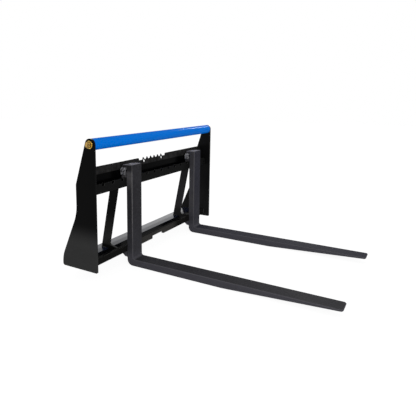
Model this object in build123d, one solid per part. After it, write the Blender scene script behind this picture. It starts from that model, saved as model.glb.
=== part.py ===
from build123d import *
import os
from math import atan2, cos, hypot, radians, sin, tan

# Pallet fork attachment for a loader: two L-shaped forks hang on a welded carriage frame.
# Every length is in millimetres. +X is along the bars, the blades point to -Y, +Z is up.
# The pieces are drawn with Y = 0 at the front edges of the side plates and Z = 0 at the underside
# of the blades, and are moved at the end so that the origin is under the middle of the whole.

# Carriage frame
frame_width = 1219.0
side_plate_thickness = 9.5
carriage_span = 407.0
bar_setback = 42.5
bar_thickness = 16.0
upper_bar_height = 49.0
lower_bar_height = 37.0
bar_edge_chamfer = 1.5

# Side plate outline
plate_drop = 13.0
foot_depth = 223.0
foot_height = 49.0
waist_depth = 121.5
waist_bottom = 279.5
waist_top = 424.5
head_height = 621.5
head_margin = 0.5
front_toe_radius = 5.0
rear_toe_radius = 12.0
foot_bend_radius = 160.0
waist_bend_radius = 210.0

# Top tube and the bolts that hold it
tube_diameter = 56.0
tube_wall = 5.0
plug_length = 24.0
plug_clearance = 0.15
bolt_diameter = 19.0
bolt_length = 40.0
bolt_clearance = 0.5
bolt_head_across_flats = 28.6
bolt_head_height = 12.0
bolt_head_slope = 30.0
washer_diameter = 37.0
washer_thickness = 3.0

# Notches in the upper bar
notch_pitch = 77.0
notch_width = 18.0
notch_depth = 14.0
notch_radius = 4.0
notches_each_side = 7

# Window in the lower bar for loading the forks
window_width = 124.0
window_height = 17.5
window_radius = 4.0

# Back plate with the serrated step
back_gap = 17.0
back_plate_thickness = 6.0
back_plate_drop = 6.0
back_plate_rise = 42.0
step_height = 39.5
step_lean = 10.0
step_bend_radius = 12.0
recess_width = 287.0
recess_depth = 14.0
tooth_pitch = 37.4
teeth = 6
recess_end_slant = 5.0
light_hole_diameter = 18.0
light_hole_spacing = 184.0
light_hole_height = 18.8

# Hook of the loader coupler, behind the back plate
coupler_hook_reach = 28.5
coupler_hook_thickness = 10.0
coupler_hook_slope = 40.0
coupler_hook_drop = 4.0
coupler_hook_end_radius = 2.0

# Gussets and ledge, which the loader coupler rests on
gusset_thickness = 12.0
gusset_spacing = 757.0
gusset_width = 48.5
gusset_top_gap = 1.8
gusset_tongue_rise = 21.0
gusset_toe_clearance = 6.0
gusset_toe_slope = 21.0
gusset_toe_radius = 8.0
ledge_height = 27.5
ledge_setback = 69.0
ledge_depth = 82.0
ledge_thickness = 12.0
ledge_corner_radius = 2.0
ledge_root_radius = 8.0
coupler_slot_spacing = 916.0
coupler_slot_length = 60.0
coupler_slot_width = 20.0
coupler_slot_edge = 7.0

# Forks
blade_width = 88.9
blade_thickness = 38.0
blade_length = 1066.0
blade_drop = 76.0
shank_rise = 69.0
heel_inner_radius = 14.0
heel_outer_radius = 33.0
taper_start = 520.0
tip_thickness = 9.0
tip_corner_radius = 11.0
blade_bevel = 3.5
left_fork_notches_out = 4
right_fork_notches_out = 6

# Hooks of the forks
slide_clearance = 0.3
hook_side_clearance = 0.6
hook_inset = 1.0
hook_lip_thickness = 14.5
top_hook_height = 28.0
top_hook_lip = 17.0
hook_radius = 8.0
hook_lip_radius = 2.0
bottom_hook_height = 29.7
bottom_hook_lip = 15.0
bottom_hook_chamfer = 14.0
bottom_hook_flat = 13.0

# Latch pins
latch_pin_diameter = 15.0
latch_bore_clearance = 0.3
latch_rest_gap = 3.0
latch_bridge_thickness = 12.0
latch_bridge_drop = 3.0
latch_bridge_depth = 26.0
latch_pin_above_bridge = 4.0
latch_pin_chamfer = 1.5
latch_handle_thickness = 10.0
latch_handle_width = 26.0
latch_handle_reach = 58.0
latch_handle_drop = 38.0
latch_handle_bend = 14.0
latch_handle_gap = 0.5
latch_handle_shank_gap = 1.0
latch_handle_tip_radius = 3.0

# Levels and depths that follow from the sizes above
half_width = frame_width / 2
inner_half = half_width - side_plate_thickness
lower_bar_bottom = blade_drop
lower_bar_top = lower_bar_bottom + lower_bar_height
upper_bar_top = lower_bar_bottom + carriage_span
upper_bar_bottom = upper_bar_top - upper_bar_height
shank_top = upper_bar_top + shank_rise
bar_front = bar_setback
bar_rear = bar_front + bar_thickness
plate_bottom = lower_bar_bottom - plate_drop
tube_radius = tube_diameter / 2
head_radius = tube_radius + head_margin
tube_axis_y = head_radius
tube_axis_z = plate_bottom + head_height
back_front = bar_rear + back_gap
back_rear = back_front + back_plate_thickness
back_bottom = upper_bar_bottom - back_plate_drop
back_bend = upper_bar_top + back_plate_rise
ledge_front = bar_front + ledge_setback
ledge_top = lower_bar_bottom + ledge_height
ledge_rear = ledge_front + ledge_depth
shank_rear = bar_front - slide_clearance
shank_front = shank_rear - blade_thickness
coupler_hook_top = back_bend - coupler_hook_drop
coupler_hook_bottom = coupler_hook_top - coupler_hook_thickness / cos(radians(coupler_hook_slope))
gusset_top = coupler_hook_bottom - gusset_top_gap
gusset_lean = (ledge_front + gusset_width - back_rear) / (gusset_top - ledge_top)
tip_y = shank_front - blade_length
middle_y = (tip_y + foot_depth) / 2
hook_inner = bar_rear + hook_side_clearance
hook_rear = hook_inner + hook_lip_thickness
hook_seat = upper_bar_top + slide_clearance
hook_top = hook_seat + top_hook_height
bridge_top = shank_top - latch_bridge_drop
bridge_bottom = bridge_top - latch_bridge_thickness
latch_axis_y = bar_front + bar_thickness / 2
left_fork_x = (0.5 - left_fork_notches_out) * notch_pitch
right_fork_x = (right_fork_notches_out - 0.5) * notch_pitch


def outline(points, radii):
    """Closed face in the plane of depth (Y) and height (Z), with each corner rounded."""
    return Plane.YZ * make_face(FilletPolyline(*points, radius=radii, close=True))


def along_bars(face, start, end):
    """Solid that carries a face of the depth and height plane from X = start to X = end."""
    return Pos(start, 0, 0) * extrude(face, amount=end - start, dir=(1, 0, 0))


def between_plates(face):
    """Piece that runs from the inner face of one side plate to that of the other."""
    return along_bars(face, -inner_half, inner_half)


def through_y(face, y, depth):
    """Cutter that carries a face of the width and height plane both ways along Y."""
    return Pos(0, y, 0) * extrude(Plane.XZ * face, amount=depth, both=True)


def rod_x(radius, x_from, x_to, y, z):
    """Round bar along X."""
    middle = (x_from + x_to) / 2
    return Pos(middle, y, z) * Rot(0, 90, 0) * Cylinder(radius, abs(x_to - x_from))


def tangent_point(corner, centre, radius):
    """Point where a line from a corner touches the rear of a circle."""
    dy, dz = corner[0] - centre[0], corner[1] - centre[1]
    distance = hypot(dy, dz)
    turn = atan2((distance**2 - radius**2) ** 0.5, radius)
    angle = atan2(dz, dy) + turn
    return (centre[0] + radius * cos(angle), centre[1] + radius * sin(angle))


def side_plate(side):
    """Profiled end plate, with a foot behind and a round head that takes the tube bolt."""
    head = (tube_axis_y, tube_axis_z)
    waist_corner = (waist_depth, plate_bottom + waist_top)
    corners = [
        (0, plate_bottom),
        (foot_depth, plate_bottom),
        (foot_depth, plate_bottom + foot_height),
        (waist_depth, plate_bottom + waist_bottom),
        waist_corner,
        tangent_point(waist_corner, head, head_radius),
        head,
        (0, tube_axis_z),
    ]
    radii = [front_toe_radius, rear_toe_radius, foot_bend_radius, waist_bend_radius, 0, 0, 0, 0]
    face = outline(corners, radii) + Plane.YZ * Pos(*head) * Circle(head_radius)
    face -= Plane.YZ * Pos(*head) * Circle(bolt_diameter / 2 + bolt_clearance)
    outer = side * half_width
    return along_bars(face, min(outer, side * inner_half), max(outer, side * inner_half))


def top_tube():
    """Round tube between the heads of the side plates."""
    ring = Circle(tube_radius) - Circle(tube_radius - tube_wall)
    return between_plates(Plane.YZ * Pos(tube_axis_y, tube_axis_z) * ring)


def tube_plug(side):
    """Tapped plug welded into one end of the tube."""
    ring = Circle(tube_radius - tube_wall - plug_clearance) - Circle(bolt_diameter / 2 + plug_clearance)
    end = side * inner_half
    start = end - side * plug_length
    return along_bars(Plane.YZ * Pos(tube_axis_y, tube_axis_z) * ring, min(start, end), max(start, end))


def tube_washer(side):
    """Flat washer against the outer face of a side plate."""
    ring = Circle(washer_diameter / 2) - Circle(bolt_diameter / 2 + bolt_clearance)
    near = side * half_width
    far = side * (half_width + washer_thickness)
    return along_bars(Plane.YZ * Pos(tube_axis_y, tube_axis_z) * ring, min(near, far), max(near, far))


def tube_bolt(side):
    """Hexagon bolt from outside, through the side plate and into the plug."""
    seat = side * (half_width + washer_thickness)
    end = seat - side * bolt_length
    head = extrude(RegularPolygon(bolt_head_across_flats / 2, 6, major_radius=False), bolt_head_height)
    crown = Cone(
        bolt_head_across_flats / 2 + bolt_head_height / tan(radians(bolt_head_slope)),
        bolt_head_across_flats / 2,
        bolt_head_height,
        align=(Align.CENTER, Align.CENTER, Align.MIN),
    )
    head = Pos(seat, tube_axis_y, tube_axis_z) * Rot(0, 90 * side, 0) * (head & crown)
    return head + rod_x(bolt_diameter / 2, end, seat, tube_axis_y, tube_axis_z)


def flat_bar(bottom, top):
    """Flat bar between the side plates, with its long edges broken."""
    corners = [(bar_front, bottom), (bar_rear, bottom), (bar_rear, top), (bar_front, top)]
    face = Plane.YZ * chamfer(make_face(Polyline(*corners, close=True)).vertices(), bar_edge_chamfer)
    return between_plates(face)


def notch_places():
    """Places of the latch notches along the upper bar, the same on both sides of the middle."""
    places = [(index + 0.5) * notch_pitch for index in range(notches_each_side)]
    return [-place for place in reversed(places)] + places


def upper_bar():
    """Upper carriage bar, with a row of latch notches in its top edge."""
    bar = flat_bar(upper_bar_bottom, upper_bar_top)
    notch = RectangleRounded(notch_width, notch_depth * 2, notch_radius)
    for place in notch_places():
        bar -= through_y(Pos(place, upper_bar_top) * notch, bar_front, bar_thickness * 2)
    return bar


def lower_bar():
    """Lower carriage bar, with a window in its bottom edge that lets the fork hooks in."""
    bar = flat_bar(lower_bar_bottom, lower_bar_top)
    window = RectangleRounded(window_width, window_height * 2, window_radius)
    return bar - through_y(Pos(0, lower_bar_bottom) * window, bar_front, bar_thickness * 2)


def step_point(height, depth):
    """Point on the leaning step, from its height above the bend and its depth behind the front."""
    lean = radians(step_lean)
    y = back_front + height * sin(lean) + depth * cos(lean)
    return (y, back_bend + height * cos(lean) - depth * sin(lean))


def serration_cutter():
    """Recess in the top edge of the step that leaves a row of pointed teeth."""
    top = step_point(step_height, 0)[1]
    gap = (recess_width - (teeth - 1) * tooth_pitch) / 2
    radius = ((tooth_pitch / 2) ** 2 + recess_depth**2) / (2 * recess_depth)
    centre_z = top - recess_depth + radius
    scallops = [
        Pos((index + 1 - teeth / 2) * tooth_pitch, centre_z) * Circle(radius)
        for index in range(teeth - 1)
    ]
    cutter = scallops[0]
    for scallop in scallops[1:]:
        cutter += scallop
    inner = recess_width / 2 - gap
    outer = recess_width / 2
    floor = top - recess_depth
    for side in (-1, 1):
        corners = [
            (side * inner, top),
            (side * (inner + tooth_pitch / 4), floor),
            (side * (outer - recess_end_slant), floor),
            (side * outer, top),
            (side * outer, top + recess_depth),
            (side * inner, top + recess_depth),
        ]
        cutter += make_face(Polyline(*corners, close=True))
    return through_y(cutter, back_front, back_plate_thickness * 4)


def back_plate():
    """Plate behind the upper bar, bent back at the top into a step with a serrated middle."""
    corners = [
        (back_front, back_bottom),
        (back_rear, back_bottom),
        (back_rear, back_bend),
        step_point(step_height, back_plate_thickness),
        step_point(step_height, 0),
        (back_front, back_bend),
    ]
    bend = [step_bend_radius, 0, 0, step_bend_radius + back_plate_thickness]
    plate = between_plates(outline(corners, [0, 0] + bend))
    drill = Rot(90 - step_lean, 0, 0) * Cylinder(light_hole_diameter / 2, back_plate_thickness * 2)
    for side in (-1, 1):
        middle = step_point(light_hole_height, back_plate_thickness / 2)
        plate -= Pos(side * light_hole_spacing / 2, *middle) * drill
    return plate - serration_cutter()


def coupler_hook():
    """Sloping hook behind the back plate, which hangs on the top edge of the loader coupler."""
    slope = radians(coupler_hook_slope)
    end_y = back_rear + coupler_hook_reach
    end_z = coupler_hook_top - coupler_hook_reach * tan(slope)
    corners = [
        (back_rear, coupler_hook_top),
        (back_rear, coupler_hook_bottom),
        (end_y - coupler_hook_thickness * sin(slope), end_z - coupler_hook_thickness * cos(slope)),
        (end_y, end_z),
    ]
    end = coupler_hook_end_radius
    return between_plates(outline(corners, [0, 0, end, end]))


def gusset_front(z):
    """Depth of the front edge of a gusset at a height."""
    return ledge_front - (z - ledge_top) * gusset_lean


def gusset(side):
    """Leaning gusset that joins both bars, the back plate and the ledge."""
    tongue_top = upper_bar_bottom + gusset_tongue_rise
    toe_bottom = lower_bar_bottom + bottom_hook_lip + gusset_toe_clearance
    toe_top = ledge_top + gusset_toe_slope
    corners = [
        (gusset_front(upper_bar_bottom), upper_bar_bottom),
        (bar_rear, upper_bar_bottom),
        (bar_rear, tongue_top),
        (back_front, tongue_top),
        (back_front, back_bottom),
        (back_rear, back_bottom),
        (back_rear, gusset_top),
        (gusset_front(ledge_top) + gusset_width, ledge_top),
        (ledge_front, ledge_top),
        (ledge_front, toe_bottom),
        (bar_rear, toe_bottom),
        (bar_rear, lower_bar_top),
        (gusset_front(toe_top), toe_top),
    ]
    radii = [0] * (len(corners) - 1) + [gusset_toe_radius]
    start = side * gusset_spacing / 2 - gusset_thickness / 2
    return along_bars(outline(corners, radii), start, start + gusset_thickness)


def ledge():
    """Rolled angle that the bottom of the loader coupler stands on, with two slots for its pins."""
    corners = [
        (ledge_front, ledge_top),
        (ledge_rear, ledge_top),
        (ledge_rear, ledge_top - ledge_thickness),
        (ledge_front + ledge_thickness, ledge_top - ledge_thickness),
        (ledge_front + ledge_thickness, lower_bar_bottom),
        (ledge_front, lower_bar_bottom),
    ]
    radii = [ledge_corner_radius, 0, 0, ledge_root_radius, 0, 0]
    plate = between_plates(outline(corners, radii))
    slot_y = ledge_rear - coupler_slot_edge - coupler_slot_width / 2
    for side in (-1, 1):
        place = Pos(side * coupler_slot_spacing / 2, slot_y, ledge_top)
        slot = SlotOverall(coupler_slot_length, coupler_slot_width)
        plate -= extrude(place * slot, amount=ledge_thickness * 2, both=True)
    return plate


def fork(x):
    """Forged fork: upright shank, round heel and a blade that thins towards the tip."""
    corners = [
        (shank_rear, shank_top),
        (shank_rear, 0),
        (shank_front - taper_start, 0),
        (tip_y, blade_thickness - tip_thickness),
        (tip_y, blade_thickness),
        (shank_front, blade_thickness),
        (shank_front, shank_top),
    ]
    radii = [0, heel_outer_radius, 0, 0, 0, heel_inner_radius, 0]
    body = along_bars(outline(corners, radii), x - blade_width / 2, x + blade_width / 2)
    tip_edges = body.edges().filter_by(Axis.Z).group_by(Axis.Y)[0]
    body = fillet(tip_edges, tip_corner_radius)
    side_faces = body.faces().filter_by(Axis.X)
    return chamfer(side_faces.edges(), blade_bevel)


def hook_span(x):
    """Both ends along X of the hooks of the fork at a place."""
    half = blade_width / 2 - hook_inset
    return x - half, x + half


def latch_bore(x):
    """Cutter for the upright bore that guides a latch pin."""
    radius = latch_pin_diameter / 2 + latch_bore_clearance
    height = (shank_top - upper_bar_top) * 3
    return Pos(x, latch_axis_y, shank_top) * Cylinder(radius, height)


def top_hook(x):
    """Block behind the shank that hangs over the upper bar and guides the latch pin."""
    corners = [
        (shank_rear, hook_seat),
        (hook_inner, hook_seat),
        (hook_inner, upper_bar_top - top_hook_lip),
        (hook_rear, upper_bar_top - top_hook_lip),
        (hook_rear, hook_top),
        (shank_rear, hook_top),
    ]
    radii = [0, 0, hook_lip_radius, hook_lip_radius, hook_radius, 0]
    return along_bars(outline(corners, radii), *hook_span(x)) - latch_bore(x)


def latch_bridge(x):
    """Plate at the top of the shank that guides the upper end of the latch pin."""
    corners = [
        (shank_rear, bridge_bottom),
        (shank_rear + latch_bridge_depth, bridge_bottom),
        (shank_rear + latch_bridge_depth, bridge_top),
        (shank_rear, bridge_top),
    ]
    radii = [0, hook_lip_radius, hook_lip_radius, 0]
    return along_bars(outline(corners, radii), *hook_span(x)) - latch_bore(x)


def bottom_hook(x):
    """Block behind the shank that keeps it against the lower bar, from below."""
    floor = lower_bar_bottom - slide_clearance - bottom_hook_height
    corners = [
        (shank_rear, floor),
        (shank_rear + bottom_hook_flat, floor),
        (hook_rear, floor + bottom_hook_chamfer),
        (hook_rear, lower_bar_bottom + bottom_hook_lip),
        (hook_inner, lower_bar_bottom + bottom_hook_lip),
        (hook_inner, lower_bar_bottom - slide_clearance),
        (shank_rear, lower_bar_bottom - slide_clearance),
    ]
    radii = [0, hook_lip_radius, hook_radius, hook_lip_radius, hook_lip_radius, 0, 0]
    return along_bars(outline(corners, radii), *hook_span(x))


def latch_pin(x):
    """Round pin, parked above the bar, that drops into a notch to hold the fork."""
    bottom = upper_bar_top + latch_rest_gap
    top = bridge_top + latch_pin_above_bridge
    pin = Pos(x, latch_axis_y, (bottom + top) / 2) * Cylinder(latch_pin_diameter / 2, top - bottom)
    return chamfer(pin.faces().sort_by(Axis.Z)[0].edges(), latch_pin_chamfer)


def latch_handle(x):
    """Wide strip welded to the latch pin, which comes out past the hook and bends down into a grip."""
    top = bridge_bottom - latch_handle_gap
    under = top - latch_handle_thickness
    root = x - latch_pin_diameter / 4
    outer = x - latch_handle_reach
    inner = outer + latch_handle_thickness
    corners = [
        (root, top),
        (outer, top),
        (outer, top - latch_handle_drop),
        (inner, top - latch_handle_drop),
        (inner, under),
        (root, under),
    ]
    bend = latch_handle_bend
    tip = latch_handle_tip_radius
    radii = [0, bend, tip, tip, bend - latch_handle_thickness, 0]
    face = make_face(FilletPolyline(*corners, radius=radii, close=True))
    middle = shank_rear + latch_handle_shank_gap + latch_handle_width / 2
    strip = through_y(face, middle, latch_handle_width / 2)
    return strip - Pos(x, latch_axis_y, top) * Cylinder(latch_pin_diameter / 2, latch_handle_thickness * 3)


def all_pieces():
    """Every piece of the attachment by its name."""
    pieces = {
        "top_tube": top_tube(),
        "upper_bar": upper_bar(),
        "lower_bar": lower_bar(),
        "back_plate": back_plate(),
        "coupler_hook": coupler_hook(),
        "coupler_ledge": ledge(),
    }
    for name, side in (("left", -1), ("right", 1)):
        pieces[name + "_side_plate"] = side_plate(side)
        pieces[name + "_gusset"] = gusset(side)
        pieces[name + "_tube_plug"] = tube_plug(side)
        pieces[name + "_tube_washer"] = tube_washer(side)
        pieces[name + "_tube_bolt"] = tube_bolt(side)
    for name, x in (("left", left_fork_x), ("right", right_fork_x)):
        pieces[name + "_fork"] = fork(x)
        pieces[name + "_top_hook"] = top_hook(x)
        pieces[name + "_bottom_hook"] = bottom_hook(x)
        pieces[name + "_latch_bridge"] = latch_bridge(x)
        pieces[name + "_latch_pin"] = latch_pin(x)
        pieces[name + "_latch_handle"] = latch_handle(x)
    return pieces


os.makedirs("parts", exist_ok=True)
for piece_name, piece in all_pieces().items():
    export_step(Pos(0, -middle_y, 0) * piece, "parts/" + piece_name + ".step")
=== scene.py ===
"""Pallet fork attachment: finishes, weld beads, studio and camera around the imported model."""

import logging
import math
from dataclasses import dataclass, field, replace
from enum import Enum

import bpy
import numpy as np
from mathutils import Matrix, Vector


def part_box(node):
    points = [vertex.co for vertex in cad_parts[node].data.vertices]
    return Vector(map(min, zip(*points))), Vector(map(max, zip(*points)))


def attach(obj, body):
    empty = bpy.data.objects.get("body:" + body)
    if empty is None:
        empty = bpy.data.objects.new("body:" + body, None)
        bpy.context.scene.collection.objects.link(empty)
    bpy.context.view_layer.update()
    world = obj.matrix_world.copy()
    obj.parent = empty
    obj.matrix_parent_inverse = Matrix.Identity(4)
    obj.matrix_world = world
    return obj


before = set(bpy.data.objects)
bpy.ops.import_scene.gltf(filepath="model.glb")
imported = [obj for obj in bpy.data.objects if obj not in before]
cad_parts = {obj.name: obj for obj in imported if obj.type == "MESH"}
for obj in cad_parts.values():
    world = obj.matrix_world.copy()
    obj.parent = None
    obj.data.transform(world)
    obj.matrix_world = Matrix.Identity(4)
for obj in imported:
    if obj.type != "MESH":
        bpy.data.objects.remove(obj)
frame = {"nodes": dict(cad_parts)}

log = logging.getLogger("pallet_fork")
Point = tuple[float, float, float]
Colour = tuple[float, float, float]
Span = tuple[float, float]
Material = bpy.types.Material
Tree = bpy.types.NodeTree
Node = bpy.types.Node
Socket = bpy.types.NodeSocket
Sockets = bpy.types.NodeOutputs
MM = 0.001
UP: Point = (0.0, 0.0, 1.0)
BACK: Point = (0.0, 1.0, 0.0)
NUMBER, VECTOR = "NodeSocketFloat", "NodeSocketVector"
# grey of settled dust, and of the painted highlight on the back plate's bend
DUST_AND_SHEEN_GREY: Colour = (0.31, 0.3, 0.29)


class Side(Enum):
    """Left and right of the attachment as the loader's driver sees it; the right is at +X."""

    LEFT = "left"
    RIGHT = "right"

    @property
    def inward(self) -> Point:
        """Direction along X from this side to the middle."""
        return (1.0, 0.0, 0.0) if self is Side.LEFT else (-1.0, 0.0, 0.0)

    def end(self, low: Vector, high: Vector) -> float:
        """The end of a box on this side.

        Args:
            low: The box's low corner.
            high: Its high corner.

        Returns:
            The end's X.
        """
        return low.x if self is Side.LEFT else high.x


class Seam(Enum):
    """Leg length of a weld bead, in metres, by what it joins."""

    HEAVY = 7 * MM
    MEDIUM = 5 * MM
    LIGHT = 2.6 * MM


class Faces(Enum):
    """The faces that a zone of colour lies on, as weights for how far they look along X, Y and Z."""

    UPRIGHT = (1.0, 1.0, 0.0)
    SIDES = (1.0, 0.0, 0.0)
    FRONTS = (0.0, 1.0, 0.0)
    LEVEL = (0.0, 0.0, 1.0)


def grey(level: float) -> Colour:
    """A neutral colour.

    Args:
        level: Its red, green and blue.

    Returns:
        The colour.
    """
    return (level, level, level)


def add_object(name: str, data: bpy.types.ID) -> bpy.types.Object:
    """Puts an object into the scene.

    Args:
        name: The object's name.
        data: Its mesh, camera or light.

    Returns:
        The object.
    """
    thing = bpy.data.objects.new(name, data)
    bpy.context.scene.collection.objects.link(thing)
    return thing


@dataclass
class Shader:
    """A node tree being wired, with short calls for the nodes that the finishes share.

    Args:
        tree: The node tree of a material, a world or a node group.
    """

    tree: Tree

    def add(self, kind: str, **settings: object) -> Node:
        """Adds a node and sets its properties.

        Args:
            kind: Blender's name of the node type.
            settings: Properties of the node by name.

        Returns:
            The new node.
        """
        node = self.tree.nodes.new(kind)
        for name, value in settings.items():
            setattr(node, name, value)
        return node

    def feed(self, node: Node, name: str | int, value: object) -> None:
        """Links an output to a node's input, or sets the input to a constant.

        Args:
            node: The node that takes the value.
            name: The input's name or place.
            value: An output socket, a number or a tuple.
        """
        if isinstance(value, Socket):
            self.tree.links.new(value, node.inputs[name])
        else:
            node.inputs[name].default_value = value

    def here(self) -> Socket:
        """Reads the point that is shaded.

        Returns:
            The socket of its Object coordinates.
        """
        return self.add("ShaderNodeTexCoord").outputs["Object"]

    def split(self, vector: object) -> Sockets:
        """Splits a vector.

        Args:
            vector: Its socket.

        Returns:
            The sockets of its X, Y and Z.
        """
        node = self.add("ShaderNodeSeparateXYZ")
        self.feed(node, 0, vector)
        return node.outputs

    def math(self, operation: str, *terms: object) -> Socket:
        """Puts a Math node to work.

        Args:
            operation: The node's operation.
            terms: Its inputs in order.

        Returns:
            The result's socket.
        """
        node = self.add("ShaderNodeMath", operation=operation)
        for place, term in enumerate(terms):
            self.feed(node, place, term)
        return node.outputs[0]

    def vector(self, operation: str, *terms: object) -> Node:
        """Puts a Vector Math node to work.

        Args:
            operation: The node's operation.
            terms: Its inputs in order.

        Returns:
            The node, whose outputs are Vector and Value.
        """
        node = self.add("ShaderNodeVectorMath", operation=operation)
        for place, term in enumerate(terms):
            self.feed(node, place, term)
        return node

    def blend(self, share: object, low: object, high: object) -> Socket:
        """Mixes two colours.

        Args:
            share: How much of the second colour shows.
            low: The colour or socket where share is 0.
            high: The colour or socket where share is 1.

        Returns:
            The mixed colour's socket.
        """
        node = self.add("ShaderNodeMix", data_type="RGBA")
        self.feed(node, 0, share)
        for place, colour in ((6, low), (7, high)):
            whole = colour if isinstance(colour, Socket) else (*colour, 1.0)
            self.feed(node, place, whole)
        return node.outputs[2]

    def between(self, value: object, low: object, high: object, to: Span = (0.0, 1.0),
                curve: str = "LINEAR") -> Socket:
        """Maps a value from one range to another and clamps it.

        Args:
            value: The socket to map.
            low: Start of the range that comes in.
            high: End of the range that comes in.
            to: Start and end of the range that goes out.
            curve: The node's interpolation.

        Returns:
            The mapped value's socket.
        """
        node = self.add("ShaderNodeMapRange", interpolation_type=curve)
        for place, term in enumerate((value, low, high, *to)):
            self.feed(node, place, term)
        return node.outputs[0]

    def noise(self, where: object, scale: object, detail: float, rough: float,
              spread: Span | None = None, to: Span = (0.0, 1.0)) -> Socket:
        """Adds fractal noise.

        Args:
            where: Coordinates to read.
            scale: Features per metre.
            detail: Octaves.
            rough: How strong the finer octaves are.
            spread: The part of its range that is spread out, or None for the plain noise.
            to: The range that this part is spread to.

        Returns:
            The value's socket.
        """
        node = self.add("ShaderNodeTexNoise")
        for name, value in (("Vector", where), ("Scale", scale), ("Detail", detail), ("Roughness", rough)):
            self.feed(node, name, value)
        return self.between(node.outputs[0], *spread, to) if spread else node.outputs[0]

    def seen(self, *rays: str) -> Socket:
        """Tells the given kinds of rays from others.

        Args:
            rays: Names of the Light Path node's outputs, two or more.

        Returns:
            A socket that is 1 for these rays and 0 for others.
        """
        path = self.add("ShaderNodeLightPath")
        mask = path.outputs[rays[0]]
        for ray in rays[1:]:
            mask = self.math("MAXIMUM", mask, path.outputs[ray])
        return mask


@dataclass
class Effect:
    """A shader node group that several finishes place with their own values.

    Args:
        name: The group's name.
        takes: Input names with their default numbers or vectors.
        gives: Output names with their socket types.
    """

    name: str
    takes: dict[str, float | Point]
    gives: dict[str, str]

    def open(self) -> tuple[Shader, Sockets, Node]:
        """Makes the group with its sockets.

        Returns:
            The group's tree, the sockets of what it is given, and its output node.
        """
        tree = bpy.data.node_groups.new(self.name, "ShaderNodeTree")
        for name, value in self.takes.items():
            kind = VECTOR if isinstance(value, tuple) else NUMBER
            socket = tree.interface.new_socket(name, in_out="INPUT", socket_type=kind)
            socket.default_value = value
        for name, kind in self.gives.items():
            tree.interface.new_socket(name, in_out="OUTPUT", socket_type=kind)
        shader = Shader(tree)
        return shader, shader.add("NodeGroupInput").outputs, shader.add("NodeGroupOutput")


def sprayed_coat() -> Tree:
    """Orange peel of a sprayed or baked coat, with slow drifts in its gloss and a fine mottle.

    Returns:
        A group that puts out the peel's height, and a drift and a tone from 0 to 1.
    """
    fine_scale, fine_share = 3.7, 0.25
    effect = Effect("sprayed_coat",
                    {"Peel Scale": 260.0, "Drift Scale": 9.0, "Mottle Scale": 110.0, "Mottle": 0.3},
                    {"Height": NUMBER, "Drift": NUMBER, "Tone": NUMBER})
    shader, given, result = effect.open()
    here = shader.here()
    peel = shader.noise(here, given["Peel Scale"], detail=1.5, rough=0.4)
    finer = shader.math("MULTIPLY", given["Peel Scale"], fine_scale)
    height = shader.math("MULTIPLY_ADD", shader.noise(here, finer, detail=1.0, rough=0.5), fine_share, peel)
    drift = shader.noise(here, given["Drift Scale"], detail=4.0, rough=0.6, spread=(0.3, 0.7))
    mottle = shader.noise(here, given["Mottle Scale"], detail=3.0, rough=0.7, spread=(0.35, 0.65))
    step = shader.math("MULTIPLY", shader.math("SUBTRACT", mottle, drift), given["Mottle"])
    shader.feed(result, "Height", height)
    shader.feed(result, "Drift", drift)
    shader.feed(result, "Tone", shader.math("ADD", drift, step))
    return shader.tree


def edge_mask() -> Tree:
    """Rounded edges: the softened normal, and how far it turns from the face's own.

    The arris mask is twice the product of the normal's share along X and its share across X, so it is 1
    on a bevel between a side face and any other. The forks put a painted highlight there.

    Returns:
        A group that puts out the softened normal, a mask that is 1 on sharp edges, and the arris mask.
    """
    effect = Effect("edge_mask", {"Radius": 1.2 * MM, "Breakup": 0.5},
                    {"Normal": VECTOR, "Mask": NUMBER, "Arris": NUMBER})
    shader, given, result = effect.open()
    soft = shader.add("ShaderNodeBevel", samples=6)
    shader.feed(soft, "Radius", given["Radius"])
    true = shader.add("ShaderNodeNewGeometry").outputs["True Normal"]
    turned = shader.vector("DOT_PRODUCT", soft.outputs[0], true).outputs["Value"]
    sharp = shader.between(turned, low=0.985, high=0.8)
    grain = shader.noise(shader.here(), scale=140.0, detail=4.0, rough=0.65, spread=(0.35, 0.6))
    whole = shader.math("SUBTRACT", 1.0, given["Breakup"])
    patchy = shader.math("MULTIPLY_ADD", grain, given["Breakup"], whole)
    along = shader.split(true)[0]
    across = shader.math("SQRT", shader.math("SUBTRACT", 1.0, shader.math("MULTIPLY", along, along)))
    slant = shader.math("MULTIPLY", shader.math("ABSOLUTE", along), shader.math("MULTIPLY", across, 2.0))
    arris = shader.between(slant, low=0.5, high=0.9)
    shader.feed(result, "Normal", soft.outputs[0])
    shader.feed(result, "Mask", shader.math("MULTIPLY", sharp, patchy))
    shader.feed(result, "Arris", shader.math("MULTIPLY", arris, patchy))
    return shader.tree


def settled_dust_and_sheen() -> Tree:
    """Fine dust that lies on faces that look up. When it is set to faces that lean back only a little, the
    same mask puts a painted highlight on the back plate's bend.

    Returns:
        A group that puts out the dust's mask.
    """
    effect = Effect("settled_dust_and_sheen", {"Amount": 0.2, "From": 0.4, "To": 1.0}, {"Mask": NUMBER})
    shader, given, result = effect.open()
    upward = shader.split(shader.add("ShaderNodeNewGeometry").outputs["Normal"])[2]
    level = shader.between(upward, given["From"], given["To"])
    cloud = shader.noise(shader.here(), scale=22.0, detail=6.0, rough=0.7, spread=(0.35, 0.75), to=(0.2, 1.0))
    mask = shader.math("MULTIPLY", shader.math("MULTIPLY", level, cloud), given["Amount"])
    shader.feed(result, "Mask", mask)
    return shader.tree


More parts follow.
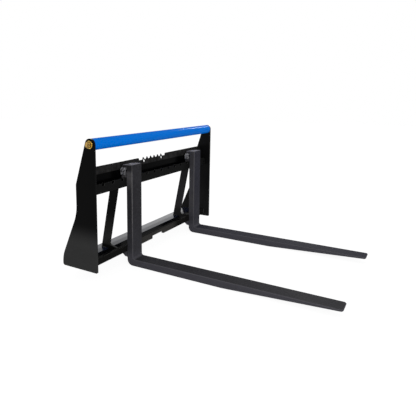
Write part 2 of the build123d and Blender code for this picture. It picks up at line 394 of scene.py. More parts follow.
def zone_mask() -> Tree:
    """A zone of colour between two heights and within a reach of the middle, on faces that look the given
    way. Most zones are painted light and shade.

    The faces' weights are multiplied by how far a face looks along X, Y and Z, and added up.

    Returns:
        A group that puts out the zone's mask, 1 at the height Whole and 0 at the height Gone.
    """
    fade = 0.06  # metres past the reach
    drawn_out = (0.35, 0.35, 1.6)  # makes the streaks lie level
    effect = Effect("zone_mask", {"Whole": 0.03, "Gone": 0.3, "Breakup": 1.0, "Reach": 9.0,
                                     "Faces": Faces.UPRIGHT.value}, {"Mask": NUMBER})
    shader, given, result = effect.open()
    here = shader.here()
    place = shader.split(here)
    height = shader.between(place[2], given["Gone"], given["Whole"], curve="SMOOTHSTEP")
    beyond = shader.math("SUBTRACT", shader.math("ABSOLUTE", place[0]), given["Reach"])
    inside = shader.between(beyond, 0.0, fade, to=(1.0, 0.0))
    looks = shader.vector("ABSOLUTE", shader.add("ShaderNodeNewGeometry").outputs["Normal"]).outputs["Vector"]
    facing = shader.vector("DOT_PRODUCT", looks, given["Faces"]).outputs["Value"]
    facing = shader.between(facing, 0.0, 1.0)
    drawn = shader.vector("MULTIPLY", here, drawn_out).outputs["Vector"]
    streaks = shader.noise(drawn, scale=30.0, detail=6.0, rough=0.65, spread=(0.3, 0.62), to=(0.55, 1.0))
    speckle = shader.noise(here, scale=420.0, detail=3.0, rough=0.7, spread=(0.35, 0.65), to=(0.75, 1.0))
    # how much the streaks and speckles take away from the zone
    faint = shader.math("SUBTRACT", 1.0, shader.math("MULTIPLY", streaks, speckle))
    kept = shader.math("SUBTRACT", 1.0, shader.math("MULTIPLY", faint, given["Breakup"]))
    mask = shader.math("MULTIPLY", shader.math("MULTIPLY", height, inside), facing)
    shader.feed(result, "Mask", shader.math("MULTIPLY", mask, kept))
    return shader.tree


@dataclass
class Effects:
    """The node groups that the finishes share, each built once.

    Args:
        coat: Orange peel and mottle.
        edges: Rounded edges, with edge wear and painted highlights on them.
        dust_and_sheen: Settled dust, and the back plate's painted highlight.
        colour_zone: Zones of colour, most of them painted light and shade.
    """

    coat: Tree = field(default_factory=sprayed_coat)
    edges: Tree = field(default_factory=edge_mask)
    dust_and_sheen: Tree = field(default_factory=settled_dust_and_sheen)
    colour_zone: Tree = field(default_factory=zone_mask)

    def place(self, shader: Shader, tree: Tree, **values: float | Point) -> Node:
        """Places one of the groups in a material.

        Args:
            shader: The material's tree.
            tree: The group.
            values: The group's inputs, numbers or vectors, with _ for a space in their names.

        Returns:
            The group's node.
        """
        node = shader.add("ShaderNodeGroup")
        node.node_tree = tree
        for name, value in values.items():
            node.inputs[name.replace("_", " ")].default_value = value
        return node


@dataclass(frozen=True)
class Finish:
    """What every finish has: a name and a plain shader to start from.

    Args:
        name: The material's name.
    """

    name: str

    def start(self) -> tuple[Material, Shader, Node]:
        """Makes an empty material.

        Returns:
            The material, its tree and its Principled shader.
        """
        material = bpy.data.materials.new(self.name)
        material.use_nodes = True
        shader = Shader(material.node_tree)
        return material, shader, material.node_tree.nodes["Principled BSDF"]

    def bump(self, shader: Shader, height: object, normal: object, depth: float) -> Socket:
        """Turns a height into a normal.

        Args:
            shader: The material's tree.
            height: Socket of the height, 0 to 1.
            normal: Socket of the normal that it starts from.
            depth: Height of 1 in metres.

        Returns:
            The normal's socket.
        """
        node = shader.add("ShaderNodeBump")
        for name, value in (("Strength", 1.0), ("Distance", depth), ("Height", height), ("Normal", normal)):
            shader.feed(node, name, value)
        return node.outputs[0]


@dataclass(frozen=True)
class ColourZone:
    """A zone of colour laid over a coat; most zones are painted light and shade.

    Args:
        colour: Colour that shows there.
        share: How much of it shows.
        whole: Height where the zone is whole.
        gone: Height where they end.
        breakup: How much streaks and speckles break them up.
        reach: Half the width of the zone along X; the default takes in the whole part.
        faces: The faces that they lie on.
    """

    colour: Colour
    share: float
    whole: float
    gone: float
    breakup: float = 1.0
    reach: float = 9.0
    faces: Faces = Faces.UPRIGHT

    def over(self, shader: Shader, effects: Effects, base: Socket) -> Socket:
        """Lays the zone over a colour.

        Args:
            shader: The material's tree.
            effects: The shared node groups.
            base: The colour's socket.

        Returns:
            The socket of the colour with the zone over it.
        """
        zone = effects.place(shader, effects.colour_zone, Whole=self.whole, Gone=self.gone, Breakup=self.breakup,
                             Reach=self.reach, Faces=self.faces.value)
        return shader.blend(shader.math("MULTIPLY", zone.outputs["Mask"], self.share), base, self.colour)


@dataclass(frozen=True)
class BakedCoat(Finish):
    """Paint or powder coat: one colour, orange peel, lighter edges, a little dust and zones of colour. The
    lighter edges are edge wear, and on the forks and the bars they are also a painted highlight.

    Args:
        colour: Base colour.
        edge_colour: Colour on sharp edges.
        edge_share: How much of the edge colour shows there.
        gloss: Lowest and highest roughness.
        specular: Strength of the plain reflection.
        peel_depth: Depth of the orange peel in metres.
        peel_scale: Bumps per metre.
        edge_radius: Radius of the softened edges in metres.
        dust_and_sheen: Most dust on faces that look up; on the back plate it is a painted highlight.
        dust_and_sheen_from: How far up a face looks where the dust and the painted highlight start and where
            they are whole, 1 is level.
        dust_and_sheen_rough: Roughness added where the dust and the painted highlight are whole.
        arris: How much of the edge colour shows on bevels.
        tone: Darkest and lightest share of the base colour over the drifts and the mottle.
        mottle: How much of that tone is fine mottle rather than slow drift.
        glaze: How strong the clear glaze is on faces seen at a low angle.
        glaze_from: Facing value where the glaze starts and where it is whole.
        glaze_rough: Roughness of the glaze.
        band: Depths along Y between which a glaze that is thinner in front gets whole again.
        rubbed_share: How much of the glaze is left in front.
        clear: Strength of an even clear coat.
        clear_rough: Roughness of the clear coat.
        colour_zones: Zones of colour, most of them painted light and shade, the lowest layer first.
    """

    colour: Colour = grey(0.0)
    edge_colour: Colour = grey(0.1)
    edge_share: float = 0.3
    gloss: Span = (0.2, 0.3)
    specular: float = 0.5
    peel_depth: float = 0.04 * MM
    peel_scale: float = 260.0
    edge_radius: float = 1.2 * MM
    dust_and_sheen: float = 0.05
    dust_and_sheen_from: Span = (0.4, 1.0)
    dust_and_sheen_rough: float = 0.5
    # arris: How much of the edge colour shows on bevels, as a painted highlight.
    arris: float = 0.0
    tone: Span = (0.85, 1.15)
    mottle: float = 0.3
    glaze: float = 0.0
    glaze_from: Span = (0.52, 0.7)
    glaze_rough: float = 0.08
    band: Span = (0.0, 0.0)
    rubbed_share: float = 0.52
    clear: float = 0.0
    clear_rough: float = 0.1
    colour_zones: tuple[ColourZone, ...] = ()

    def make(self, effects: Effects) -> Material:
        """Builds the material.

        Args:
            effects: The shared node groups.

        Returns:
            The finished material.
        """
        material, shader, surface = self.start()
        coat = effects.place(shader, effects.coat, Peel_Scale=self.peel_scale, Mottle=self.mottle)
        edges = effects.place(shader, effects.edges, Radius=self.edge_radius)
        start, whole = self.dust_and_sheen_from
        dust_and_sheen = effects.place(shader, effects.dust_and_sheen, Amount=self.dust_and_sheen, From=start, To=whole).outputs["Mask"]
        rough = shader.between(coat.outputs["Drift"], 0.0, 1.0, self.gloss)
        rough = shader.math("MULTIPLY_ADD", dust_and_sheen, self.dust_and_sheen_rough, rough)
        normal = self.bump(shader, coat.outputs["Height"], edges.outputs["Normal"], self.peel_depth)
        base = self.edged_colour(shader, coat, edges)
        # dust, and on the back plate a painted highlight
        base = shader.blend(dust_and_sheen, base, DUST_AND_SHEEN_GREY)
        # zones of colour, most of them painted light and shade
        for colour_zone in self.colour_zones:
            base = colour_zone.over(shader, effects, base)
        for name, value in (("Base Color", base), ("Roughness", rough), ("Normal", normal),
                            ("Specular IOR Level", self.specular)):
            shader.feed(surface, name, value)
        if self.glaze > 0:
            shader.feed(surface, "Coat Weight", self.glaze_weight(shader))
            shader.feed(surface, "Coat Roughness", self.glaze_rough)
        elif self.clear > 0:
            shader.feed(surface, "Coat Weight", self.clear)
            shader.feed(surface, "Coat Roughness", self.clear_rough)
        return material

    def edged_colour(self, shader: Shader, coat: Node, edges: Node) -> Socket:
        """Mixes the mottled base colour with the colour of the edges, which is edge wear and on some coats
        also a painted highlight.

        Args:
            shader: The material's tree.
            coat: The node of the sprayed coat.
            edges: The node of the edge masks.

        Returns:
            The colour's socket.
        """
        dark, light = (tuple(part * share for part in self.colour) for share in self.tone)
        base = shader.blend(coat.outputs["Tone"], dark, light)
        share = shader.math("MULTIPLY", edges.outputs["Mask"], self.edge_share)
        # bevels get the edge colour as a painted highlight
        if self.arris > 0:
            share = shader.math("MAXIMUM", share, shader.math("MULTIPLY", edges.outputs["Arris"], self.arris))
        return shader.blend(share, base, self.edge_colour)

    def glaze_weight(self, shader: Shader) -> Socket:
        """Works out where the glaze lies.

        Args:
            shader: The material's tree.

        Returns:
            The socket of its weight.
        """
        facing = shader.add("ShaderNodeLayerWeight").outputs["Facing"]
        weight = shader.between(facing, *self.glaze_from, (0.0, self.glaze))
        if self.band[1] > self.band[0]:
            depth = shader.split(shader.here())[1]
            left = shader.between(depth, *self.band, (self.rubbed_share, 1.0))
            weight = shader.math("MULTIPLY", weight, left)
        return weight


@dataclass(frozen=True)
class PlatedSteel(Finish):
    """Zinc-plated or bare steel: metal with a brushed grain and stains that drift in colour.

    Args:
        colour: Main colour of the metal.
        stain: Colour that it drifts to.
        gloss: Lowest and highest roughness.
        metal: 1 for clean metal, less where grime and dull plating cover it.
        cloud_scale: Stains per metre.
        grain_scale: Grain lines per metre.
        grain_depth: Depth of the grain in metres.
        edge_radius: Radius of the softened edges in metres.
    """

    colour: Colour = grey(0.6)
    stain: Colour = grey(0.4)
    gloss: Span = (0.25, 0.45)
    metal: float = 1.0
    cloud_scale: float = 90.0
    grain_scale: float = 900.0
    grain_depth: float = 0.01 * MM
    edge_radius: float = 0.8 * MM

    def make(self, effects: Effects) -> Material:
        """Builds the material.

        Args:
            effects: The shared node groups.

        Returns:
            The finished material.
        """
        material, shader, surface = self.start()
        edges = effects.place(shader, effects.edges, Radius=self.edge_radius)
        here = shader.here()
        cloud = shader.noise(here, self.cloud_scale, detail=5.0, rough=0.6, spread=(0.42, 0.58))
        grain = shader.noise(here, self.grain_scale, detail=3.0, rough=0.6)
        shader.feed(surface, "Base Color", shader.blend(cloud, self.colour, self.stain))
        shader.feed(surface, "Metallic", self.metal)
        shader.feed(surface, "Roughness", shader.between(cloud, 0.0, 1.0, self.gloss))
        shader.feed(surface, "Normal", self.bump(shader, grain, edges.outputs["Normal"], self.grain_depth))
        return material


@dataclass
class Finishes:
    """Every finish of the attachment, made once.

    Args:
        effects: The shared node groups.
        frame: Gloss black of the left side plate, the coupler hook and the frame's beads.
        ledge: Gloss black of the coupler ledge, its glaze thinner in front, with a painted bluish reflection
            of the blue tube on its top and a hint of it in its black.
        far_plate: Gloss black of the right side plate, lighter than the left plate as painted light, and
            lighter still towards the bottom.
        web: Black of the back plate, darker than the frame's as painted shade, with a painted highlight on
            its bend.
        rail: Satin black of the two bars, with edge wear and a painted highlight on their edges; as painted
            light, the upper bar's front is lighter and the lower bar is lighter too, most of all between the
            forks.
        gussets: Gloss black of each gusset, with painted light above the foot and painted shade at the foot;
            the right one is a lighter, lit copy.
        forks: Charcoal of each fork, with painted light and shade; the right one is a lighter, bluer lit
            copy.
        tube: Blue of the top tube.
        bolt: Dull yellow zinc of the bolts.
        washer: Bright yellow zinc of the washers.
        steel: Grimy bare steel of the latches and the tube's plugs.
    """

    effects: Effects = field(default_factory=Effects)
    frame: Material = field(init=False)
    ledge: Material = field(init=False)
    far_plate: Material = field(init=False)
    web: Material = field(init=False)
    rail: Material = field(init=False)
    gussets: dict[Side, Material] = field(init=False)
    forks: dict[Side, Material] = field(init=False)
    tube: Material = field(init=False)
    bolt: Material = field(init=False)
    washer: Material = field(init=False)
    steel: Material = field(init=False)

    def __post_init__(self) -> None:
        """Makes the materials."""
        self.make_blacks()
        self.make_forks()
        self.make_tube_and_metals()

    def make_blacks(self) -> None:
        """Makes the black coats of the welded frame, which all start from one gloss black."""
        faint = (0.03, 0.03, 0.032)
        black = BakedCoat(
            "frame_black", colour=(0.0017, 0.0017, 0.0018), edge_colour=(0.025, 0.025, 0.027),
            edge_share=0.35, gloss=(0.16, 0.24), specular=0.03, dust_and_sheen=0.003, glaze=1.0,
            colour_zones=(ColourZone(grey(0.038), share=0.8, whole=0.19, gone=0.3, breakup=0.25),))
        # the hint of blue in the ledge's black and the blue zone on its top are a painted reflection of the
        # blue tube
        ledge = replace(
            black, name="ledge_black", colour=(0.0017, 0.0018, 0.0024), glaze=0.96, band=(0.562, 0.578),
            colour_zones=(ColourZone((0.009, 0.012, 0.027), share=0.9, whole=0.12, gone=0.15, breakup=0.3,
                          faces=Faces.LEVEL),))
        # painted light on the gusset above its foot, and painted shade at its foot
        gusset = replace(
            black, name="gusset_black",
            colour_zones=(ColourZone((0.028, 0.028, 0.026), share=0.8, whole=0.15, gone=0.32, breakup=0.6),
                    ColourZone(grey(0.001), share=0.9, whole=0.115, gone=0.13, breakup=0.2)))
        # the right gusset is a lit copy: painted light over more of its height, with painted shade at its
        # foot
        lit_gusset = replace(
            black, name="gusset_lit",
            colour_zones=(ColourZone((0.027, 0.026, 0.028), share=0.8, whole=0.2, gone=0.75, breakup=0.5),
                    ColourZone(grey(0.01), share=0.8, whole=0.14, gone=0.18, breakup=0.3)))
        # the right plate's lighter black is painted light, a lit copy of the frame's black; its zone makes it
        # lighter towards the bottom
        far_plate = replace(
            black, name="plate_black", colour=(0.0048, 0.0048, 0.005), edge_colour=faint,
            colour_zones=(ColourZone(grey(0.02), share=0.6, whole=0.12, gone=0.35, breakup=0.5),))
        # the back plate's darker black is painted shade, and the dust on faces that lean back a little is a
        # painted highlight on its bend
        web = replace(
            black, name="web_black", colour=(0.0008, 0.0008, 0.0009), edge_colour=faint, specular=0.01,
            dust_and_sheen=0.1, dust_and_sheen_from=(0.04, 0.18), glaze=0.0, colour_zones=())
        # the bars' bright edges are edge wear and a painted highlight; their zones are painted light: the
        # upper bar's front lit lighter, and the lower bar lighter, most of all between the forks, where it is
        # a painted reflection of the lit forks
        rail = replace(
            black, name="rail_black", colour=(0.0034, 0.0034, 0.0035), edge_colour=(0.2, 0.195, 0.19),
            edge_share=0.8, gloss=(0.26, 0.36), specular=0.003, edge_radius=2.0 * MM, dust_and_sheen=0.0, glaze=0.0,
            colour_zones=(ColourZone(grey(0.01), share=0.9, whole=0.42, gone=0.3, breakup=0.4, faces=Faces.FRONTS),
                    ColourZone((0.024, 0.023, 0.022), share=0.3, whole=0.11, gone=0.12, breakup=0.8),
                    ColourZone((0.046, 0.044, 0.042), share=0.9, whole=0.11, gone=0.12, breakup=0.7,
                          reach=0.17)))
        self.frame, self.ledge = black.make(self.effects), ledge.make(self.effects)
        self.gussets = {Side.LEFT: gusset.make(self.effects), Side.RIGHT: lit_gusset.make(self.effects)}
        self.far_plate, self.web = far_plate.make(self.effects), web.make(self.effects)
        self.rail = rail.make(self.effects)

    def make_forks(self) -> None:
        """Makes the forks' charcoal, with a painted highlight and the latch's painted shadow on the left
        fork's sides, and painted light on the right fork's sides.
        """
        # edge wear and a painted highlight on edges and bevels, a painted reflection of the floor low on the
        # blades' sides, lighter towards the bottom of the shanks, and a painted highlight on the shanks' tops
        charcoal = BakedCoat(
            "fork_charcoal", colour=(0.0247, 0.0242, 0.0276), edge_colour=(0.13, 0.125, 0.13),
            edge_share=0.6, gloss=(0.45, 0.55), specular=0.012, peel_depth=0.09 * MM, peel_scale=420.0,
            edge_radius=2.0 * MM, dust_and_sheen=0.004, arris=0.8, tone=(0.65, 1.4), mottle=0.65,
            colour_zones=(ColourZone((0.106, 0.102, 0.12), share=0.9, whole=0.04, gone=0.1),
                    ColourZone((0.039, 0.0385, 0.045), share=0.7, whole=0.1, gone=0.32, breakup=0.6),
                    ColourZone((0.3, 0.29, 0.32), share=0.8, whole=0.54, gone=0.5, breakup=0.5,
                          faces=Faces.LEVEL)))
        # painted highlight on the left fork's sides below the latch
        band = ColourZone((0.11, 0.105, 0.108), share=0.7, whole=0.48, gone=0.4, faces=Faces.SIDES)
        # painted shadow of the latch on the top of the left fork's sides
        latch_shadow = ColourZone((0.004, 0.004, 0.005), share=0.8, whole=0.53, gone=0.5, breakup=0.3, faces=Faces.SIDES)
        # painted light on the right fork's sides
        lit_sides = ColourZone((0.062, 0.06, 0.062), share=0.75, whole=0.2, gone=0.05, faces=Faces.SIDES)
        left = replace(charcoal, colour_zones=(*charcoal.colour_zones, band, latch_shadow))
        # the right fork is a lit copy of the charcoal, lighter and bluer as painted light
        right = replace(charcoal, name="fork_lit", colour=(0.0238, 0.0236, 0.032),
                        colour_zones=(*charcoal.colour_zones, lit_sides))
        self.forks = {Side.LEFT: left.make(self.effects), Side.RIGHT: right.make(self.effects)}

    def make_tube_and_metals(self) -> None:
        """Makes the tube's blue, the zinc of its bolts and washers, and the latches' steel."""
        tube = BakedCoat(
            "tube_blue", colour=(0.0, 0.152, 0.64), edge_colour=(0.0, 0.3, 0.8), edge_share=0.2,
            gloss=(0.14, 0.18), specular=0.0, dust_and_sheen=0.0, tone=(0.95, 1.05), clear=0.06)
        bolt = PlatedSteel("dull_zinc", colour=(0.5, 0.33, 0.1), stain=(0.17, 0.1, 0.03))
        washer = PlatedSteel("yellow_zinc", colour=(0.95, 0.72, 0.18), stain=(0.75, 0.52, 0.13))
        steel = PlatedSteel(
            "latch_steel", colour=(0.3, 0.3, 0.315), stain=(0.012, 0.012, 0.015), gloss=(0.35, 0.55),
            metal=0.3, cloud_scale=130.0)
        self.tube, self.bolt = tube.make(self.effects), bolt.make(self.effects)
        self.washer, self.steel = washer.make(self.effects), steel.make(self.effects)


def dress(name: str, material: Material) -> None:
    """Gives a CAD node its finish.

    Args:
        name: The node's name.
        material: The finish.
    """
    node = frame["nodes"][name]
    node.data.materials.clear()
    node.data.materials.append(material)


@dataclass
class WeldBead:
    """A fillet weld in the corner of two faces, as a rippled surface that tapers at both ends.

    The surface runs along the seam and across it. Across, it follows an arc from one face to
    the other, and closes through the corner. With s the way along the seam and a the angle
    across it, 0 on the first face and pi / 2 on the second, the arc's radius is

        leg * (1 + ripple * cos(2 pi (s + lag * leg * sin 2a) / pitch))
            * (1 + the waves' sum of size * sin(s / length))
            * sqrt(min(1, way to the nearer end / (toe * leg))) * (1 - belly + belly * sin 2a)

    so each ripple comes later in the middle of the bead than at its toes.

    Args:
        start: One end of the corner line.
        end: The other end.
        first: Direction along the first face, away from the corner.
        second: Direction along the second face, away from the corner.
        seam: Size of the bead.
        pitch: Length of a ripple.
        ripple: Height of a ripple in shares of the leg.
        lag: How much later a ripple comes in the middle of the bead, in legs.
        waves: Size, in shares of the leg, and length of the slow waves in the bead's width.
        toe: Length of the taper at an end, in legs.
        belly: How much fuller the middle is than the toes.
        across: Points across the bead.
        steps_in_pitch: Rings of points in each ripple.
        fewest_rings: Rings in the shortest bead.
    """

    start: Point
    end: Point
    first: Point
    second: Point
    seam: Seam = Seam.MEDIUM
    pitch: float = 2.8 * MM
    ripple: float = 0.09
    lag: float = 0.45
    waves: tuple[Span, ...] = ((0.05, 11 * MM), (0.04, 4.3 * MM))
    toe: float = 0.8
    belly: float = 0.2
    across: int = 9
    steps_in_pitch: int = 5
    fewest_rings: int = 12

    def surface(self) -> tuple[np.ndarray, np.ndarray]:
        """Works out the bead.

        Returns:
            Its points, shape (along, across + 1, 3), and its quads as rows of point numbers.
        """
        start, end = np.array(self.start), np.array(self.end)
        first, second = np.array(self.first), np.array(self.second)
        leg = self.seam.value
        length = np.linalg.norm(end - start)
        rings = max(self.fewest_rings, int(length / self.pitch * self.steps_in_pitch))
        along = np.linspace(0.0, 1.0, rings)[:, None]
        angle = np.linspace(0.0, math.pi / 2, self.across)[None, :]
        late = self.lag * np.sin(2 * angle) * leg
        width = 1 + self.ripple * np.cos(2 * math.pi * (along * length + late) / self.pitch)
        wander = 1
        for size, wave in self.waves:
            wander = wander + size * np.sin(along * length / wave)
        taper = np.sqrt(np.clip(np.minimum(along, 1 - along) * length / (self.toe * leg), 0, 1))
        reach = leg * width * wander * taper * (1 - self.belly + self.belly * np.sin(2 * angle))
        arc = (reach * np.cos(angle))[..., None] * first + (reach * np.sin(angle))[..., None] * second
        spine = start + along[..., None] * (end - start)
        points = np.concatenate([spine + arc, spine], axis=1)
        return points, self.quads(rings, self.across + 1)

    def quads(self, rings: int, ring: int) -> np.ndarray:
        """Joins neighbouring rings of points.

        Args:
            rings: How many rings there are.
            ring: How many points each has.

        Returns:
            Quads as rows of point numbers, turned so that they face outwards.
        """
        row = np.arange(rings - 1)[:, None] * ring
        here, there = np.arange(ring)[None, :], np.roll(np.arange(ring), -1)[None, :]
        quads = np.stack([row + here, row + there, row + ring + there, row + ring + here], axis=-1)
        spin = np.cross(self.first, self.second) @ (np.array(self.end) - np.array(self.start))
        return quads.reshape(-1, 4)[:, ::-1] if spin > 0 else quads.reshape(-1, 4)


def join_beads(name: str, beads: list[WeldBead], paint: Material) -> bpy.types.Object:
    """Makes one object of several beads.

    Args:
        name: The object's name.
        beads: The beads.
        paint: Their finish.

    Returns:
        The object, with smooth shading.
    """
    points, quads, count = [], [], 0
    for bead in beads:
        grid, faces = bead.surface()
        points.append(grid.reshape(-1, 3))
        quads.append(faces + count)
        count += len(points[-1])
    mesh = bpy.data.meshes.new(name)
    mesh.from_pydata(np.concatenate(points), [], np.concatenate(quads))
    mesh.validate()
    mesh.shade_smooth()
    mesh.materials.append(paint)
    return add_object(name, mesh)


@dataclass
class Carriage:
    """The welded frame: side plates, bars, back plate, coupler hook and ledge, and gussets.

    Args:
        finishes: The finishes of the attachment.
        seam_end: How far a bead keeps from the end of its seam.
        ledge_bend: Depth of the ledge's rolled front, which has no bead on top.
        plate_seam: Where the bead on the back plate's front ends, above the plate's lower edge.
        gusset_foot: Where the bead at the lower bar starts, above a gusset's lowest point.
        gusset_head: Where the bead at the back plate ends, below a gusset's highest point.
        rails: Nodes of the two bars.
    """

    finishes: Finishes
    seam_end: float = 3 * MM
    ledge_bend: float = 16 * MM
    plate_seam: float = 90 * MM
    gusset_foot: float = 2 * MM
    gusset_head: float = 8 * MM
    rails: tuple[str, str] = ("upper_bar", "lower_bar")

    def upright(self, name: str, side: Side, facing: float, seam: Seam) -> WeldBead:
        """An upright bead where a bar or the ledge meets a side plate.

        Args:
            name: The bar's node.
            side: Which side plate.
            facing: -1 for the bar's front face and 1 for its rear face.
            seam: Size of the bead.

        Returns:
            The bead.
        """
        low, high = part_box(name)
        x = side.end(low, high)
        y = high.y if facing > 0 else low.y
        return WeldBead((x, y, low.z + self.seam_end), (x, y, high.z - self.seam_end),
                        side.inward, (0.0, facing, 0.0), seam)

    def end_seams(self, side: Side) -> list[WeldBead]:
        """Beads where the bars, the ledge and the back plate meet a side plate.

        Args:
            side: Which side plate.

        Returns:
            The beads.
        """
        beads = [self.upright(name, side, facing, Seam.HEAVY)
                 for name in self.rails for facing in (-1.0, 1.0)]
        beads.append(self.upright("coupler_ledge", side, -1.0, Seam.MEDIUM))
        low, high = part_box("coupler_ledge")
        x = side.end(low, high)
        beads.append(WeldBead((x, low.y + self.ledge_bend, high.z), (x, high.y - self.seam_end, high.z),
                              side.inward, UP))
        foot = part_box("back_plate")[0]
        beads.append(WeldBead((x, foot.y, foot.z + self.seam_end), (x, foot.y, foot.z + self.plate_seam),
                              side.inward, (0.0, -1.0, 0.0)))
        return beads

    def gusset_seams(self, side: Side) -> list[WeldBead]:
        """Beads on both faces of a gusset, at the ledge, the lower bar and the back plate.

        Args:
            side: Which gusset.

        Returns:
            The beads.
        """
        low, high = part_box(side.value + "_gusset")
        ledge_low, ledge_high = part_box("coupler_ledge")
        bar_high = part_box("lower_bar")[1]
        plate_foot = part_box("back_plate")[0].z
        plate_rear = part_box("coupler_hook")[0].y
        beads = []
        for x, facing in ((low.x, -1.0), (high.x, 1.0)):
            out = (facing, 0.0, 0.0)
            beads.append(WeldBead((x, ledge_low.y + self.ledge_bend, ledge_high.z), (x, high.y, ledge_high.z),
                                  out, UP))
            beads.append(WeldBead((x, bar_high.y, low.z + self.gusset_foot),
                                  (x, bar_high.y, bar_high.z - self.seam_end), out, BACK))
            beads.append(WeldBead((x, plate_rear, plate_foot + self.seam_end),
                                  (x, plate_rear, high.z - self.gusset_head), out, BACK))
        return beads

    def build(self) -> None:
        """Dresses the frame's nodes and adds its beads."""
        finishes = self.finishes
        dressing = {"left_side_plate": finishes.frame, "right_side_plate": finishes.far_plate,
                    "coupler_hook": finishes.frame, "coupler_ledge": finishes.ledge,
                    "back_plate": finishes.web}
        dressing.update({name: finishes.rail for name in self.rails})
        dressing.update({side.value + "_gusset": finish for side, finish in finishes.gussets.items()})
        for name, finish in dressing.items():
            dress(name, finish)
        beads = [bead for side in Side for bead in self.end_seams(side) + self.gusset_seams(side)]
        welds = join_beads("frame_welds", beads, finishes.frame)
        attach(welds, "frame")
        log.info("frame: %d nodes and %d beads", len(dressing), len(beads))


@dataclass
class TopTube:
    """The round tube across the top, with its plugs, washers and bolts.

    Args:
        finishes: The finishes of the attachment.
    """

    finishes: Finishes

    def build(self) -> None:
        """Dresses the tube and what holds it."""
        dress("top_tube", self.finishes.tube)
        for side in Side:
            dress(side.value + "_tube_plug", self.finishes.steel)
            dress(side.value + "_tube_washer", self.finishes.washer)
            dress(side.value + "_tube_bolt", self.finishes.bolt)
        log.info("top tube dressed")


@dataclass
class Fork:
    """One fork with its hooks and its latch.

    Args:
        finishes: The finishes of the attachment.
        side: Which fork.
        pin_room: Half the length left free of weld on each side of the latch pin's axis.
        lower_lean: Direction from the lower hook down the round of the heel, which its bead follows.
        painted: Ends of the painted nodes' names.
        bare: Ends of the bare nodes' names.
    """

    finishes: Finishes
    side: Side
    pin_room: float = 14 * MM
    lower_lean: Point = (0.0, -0.3, -1.0)
    painted: tuple[str, ...] = ("_fork", "_top_hook", "_bottom_hook", "_latch_bridge")
    bare: tuple[str, ...] = ("_latch_pin", "_latch_handle")

    def hook_seams(self) -> list[WeldBead]:
        """Beads between the shank, its hooks and the bridge, clear of the latch.

        The handle comes down over the upper hook on the -X side of the pin, so that side has its bead on
        the bridge only.

        Returns:
            The beads.
        """
        name = self.side.value
        low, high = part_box(name + "_top_hook")
        pin_low, pin_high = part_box(name + "_latch_pin")
        middle = (pin_low.x + pin_high.x) / 2
        bridge_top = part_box(name + "_latch_bridge")[1].z
        beads = []
        for near, far, z, seam in ((low.x, middle - self.pin_room, bridge_top, Seam.LIGHT),
                                   (middle + self.pin_room, high.x, bridge_top, Seam.LIGHT),
                                   (middle + self.pin_room, high.x, high.z, Seam.MEDIUM)):
            beads.append(WeldBead((near, low.y, z), (far, low.y, z), UP, BACK, seam))
        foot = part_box(name + "_bottom_hook")[0]
        beads.append(WeldBead((low.x, foot.y, foot.z), (high.x, foot.y, foot.z), self.lower_lean, BACK))
        return beads

    def build(self) -> None:
        """Dresses the fork's nodes and adds its beads."""
        name = self.side.value
        paint = self.finishes.forks[self.side]
        for ending in self.painted:
            dress(name + ending, paint)
        for ending in self.bare:
            dress(name + ending, self.finishes.steel)
        beads = self.hook_seams()
        welds = join_beads(name + "_fork_welds", beads, paint)
        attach(welds, name + "_fork")
        log.info("%s fork: %d beads", name, len(beads))


@dataclass(frozen=True)
class Lamp:
    """A soft rectangular light.

    Args:
        name: The lamp's name.
        place: Where it hangs.
        aim: The point that it faces.
        size: Width and height.
        power: Power in watts.
    """

    name: str
    place: Point
    aim: Point
    size: Span
    power: float

    def hang(self) -> None:
        """Adds the light to the scene."""
        data = bpy.data.lights.new(self.name, "AREA")
        data.shape = "RECTANGLE"
        data.size, data.size_y = self.size
        data.energy = self.power
        lamp = add_object(self.name, data)
        lamp.location = self.place
        lamp.rotation_euler = (Vector(self.aim) - Vector(self.place)).to_track_quat("-Z", "Y").to_euler()


@dataclass(frozen=True)
class FloorFinish(Finish):
    """White floor: its own glow for the camera and reflections, plain where light falls on it.

    Args:
        shade: Its colour.
        rough: Its roughness.
        glow: Strength of the glow.
        glow_share: How much of the glow shows.
    """

    shade: float = 0.86
    rough: float = 0.9
    glow: float = 1.14
    glow_share: float = 0.8

    def make(self) -> Material:
        """Builds the material.

        Returns:
            The finished material.
        """
        material, shader, surface = self.start()
        shader.feed(surface, "Base Color", (*grey(self.shade), 1.0))
        shader.feed(surface, "Roughness", self.rough)
        shader.feed(surface, "Specular IOR Level", 0.0)
        glow = shader.add("ShaderNodeEmission")
        shader.feed(glow, "Strength", self.glow)
        seen = shader.seen("Is Camera Ray", "Is Glossy Ray")
        mix = shader.add("ShaderNodeMixShader")
        for place, term in enumerate((shader.math("MULTIPLY", seen, self.glow_share),
                                      surface.outputs[0], glow.outputs[0])):
            shader.feed(mix, place, term)
        shader.feed(material.node_tree.nodes["Material Output"], "Surface", mix.outputs[0])
        return material


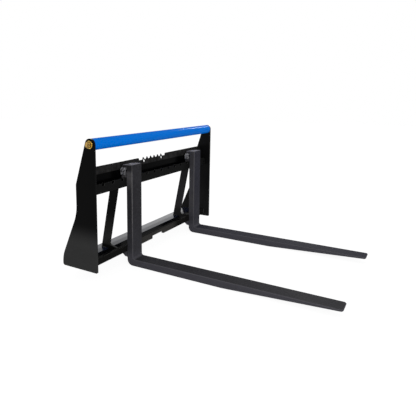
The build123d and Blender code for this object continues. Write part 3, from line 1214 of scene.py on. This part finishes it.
@dataclass
class Studio:
    """Pale floor, soft lights, white surroundings and the camera.

    Args:
        position: The camera's place.
        yaw: Its heading from +Y towards +X, in radians.
        pitch: How far it looks up, in radians.
        roll: Its roll, in radians.
        lens: Focal length in millimetres.
        sensor: Width of the camera's frame in millimetres.
        shift: Shift of the frame in shares of its width.
        sight: How far the camera sees.
        soft_light: Strength of the surroundings as a light, where white is 1.
        half_floor: Half the floor's width.
        lamps: The lights.
    """

    position: Point = (-2.1037, -0.8871, 0.9003)
    yaw: float = 1.01844
    pitch: float = -0.15666
    roll: float = 0.00289
    lens: float = 37.206
    sensor: float = 36.0
    shift: Span = (0.10127, -0.10211)
    sight: float = 60.0
    soft_light: float = 0.55
    half_floor: float = 14.0
    lamps: tuple[Lamp, ...] = (
        Lamp("key", place=(-4.6, -4.2, 2.4), aim=(0.0, 0.0, 0.3), size=(3.4, 2.2), power=190.0),
        Lamp("top", place=(0.6, 0.3, 3.6), aim=(0.0, 0.0, 0.3), size=(2.5, 2.5), power=1.5),
        Lamp("streak", place=(3.4, 0.27, 2.3), aim=(0.3, 0.45, 0.68), size=(0.3, 0.35), power=45.0))

    def camera(self) -> None:
        """Sets the camera at the photograph's place, looking the way it looked."""
        data = bpy.data.cameras.new("camera")
        data.lens = self.lens
        data.sensor_width = self.sensor
        data.shift_x, data.shift_y = self.shift
        data.clip_end = self.sight
        camera = add_object("camera", data)
        level = math.cos(self.pitch)
        ahead = Vector((math.sin(self.yaw) * level, math.cos(self.yaw) * level, math.sin(self.pitch)))
        right = Vector((math.cos(self.yaw), -math.sin(self.yaw), 0.0))
        above = right.cross(ahead)
        tilted = right * math.cos(self.roll) + above * math.sin(self.roll)
        upright = above * math.cos(self.roll) - right * math.sin(self.roll)
        turn = Matrix((tilted, upright, -ahead)).transposed().to_4x4()
        camera.matrix_world = Matrix.Translation(self.position) @ turn
        bpy.context.scene.camera = camera

    def surroundings(self) -> None:
        """Lights the object evenly and shows white to the camera and in reflections."""
        world = bpy.data.worlds.new("studio")
        bpy.context.scene.world = world
        world.use_nodes = True
        world.node_tree.nodes.clear()
        shader = Shader(world.node_tree)
        seen = shader.seen("Is Camera Ray", "Is Glossy Ray", "Is Transmission Ray")
        background = shader.add("ShaderNodeBackground")
        shader.feed(background, "Color", (*grey(1.0), 1.0))
        shader.feed(background, "Strength", shader.between(seen, 0.0, 1.0, (self.soft_light, 1.0)))
        shader.feed(shader.add("ShaderNodeOutputWorld"), "Surface", background.outputs[0])

    def floor(self) -> None:
        """Lays a pale floor that keeps the object's shadow and is white elsewhere."""
        half = self.half_floor
        mesh = bpy.data.meshes.new("floor")
        corners = [(-half, -half, 0.0), (half, -half, 0.0), (half, half, 0.0), (-half, half, 0.0)]
        mesh.from_pydata(corners, [], [(0, 1, 2, 3)])
        mesh.materials.append(FloorFinish("floor_white").make())
        add_object("floor", mesh)

    def build(self) -> None:
        """Sets up everything around the object."""
        self.camera()
        self.surroundings()
        self.floor()
        for lamp in self.lamps:
            lamp.hang()
        bpy.context.scene.view_settings.view_transform = "Standard"
        log.info("studio and camera set")


def main() -> None:
    """Builds the scene in order."""
    logging.basicConfig(level=logging.INFO)
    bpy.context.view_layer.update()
    Studio().build()
    finishes = Finishes()
    Carriage(finishes).build()
    TopTube(finishes).build()
    for side in Side:
        Fork(finishes, side).build()


if __name__ == "__main__":
    main()
